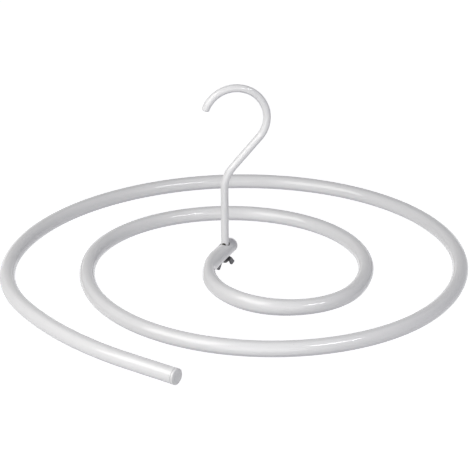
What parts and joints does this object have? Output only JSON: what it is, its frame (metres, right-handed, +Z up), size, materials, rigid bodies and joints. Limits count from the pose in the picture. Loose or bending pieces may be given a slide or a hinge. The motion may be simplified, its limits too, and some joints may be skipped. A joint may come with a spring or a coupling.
{
  "type": "spiral blanket hanger",
  "caption": "Coated steel tube bent into a flat spiral, hung level from a wire hook through its inner end and clamped by a wing nut, for drying blankets and sheets.",
  "frame": {"origin": "inner top of the hook's crown, where the rail bears on it", "axes": "+Z up along the hook's stem; the hook lies in the XZ plane with its mouth towards -X; the spiral lies flat in a plane parallel to XY"},
  "size_m": [0.4231, 0.4325, 0.1764],
  "materials": {
    "white_coat": "gloss",
    "plug_plastic": "satin",
    "dark_steel": "satin"
  },
  "bodies": {
    "hook": {"hook": "white_coat"},
    "spiral": {"spiral_tube": "white_coat", "inner_end_plug": "plug_plastic", "outer_end_plug": "plug_plastic"},
    "washer": {"washer": "dark_steel"},
    "wing_nut": {"wing_nut": "dark_steel"}
  },
  "joints": [
    {"name": "spiral_swivel", "type": "hinge", "parent": "hook", "child": "spiral", "pos_m": [-0.0103, 0, -0.15201], "axis": [0, 0, 1], "continuous": true},
    {"name": "washer_slide", "type": "slide", "parent": "hook", "child": "washer", "axis": [0, 0, -1], "range_m": [0, 0.0029]},
    {"name": "nut_turn", "type": "hinge", "parent": "washer", "child": "wing_nut", "pos_m": [-0.0103, 0, -0.16011], "axis": [0, 0, -1], "range_deg": [0, 1305]}
  ],
  "couplings": [
    {"joint": "nut_turn", "follows": "washer_slide", "rad_per_m": 7854}
  ]
}
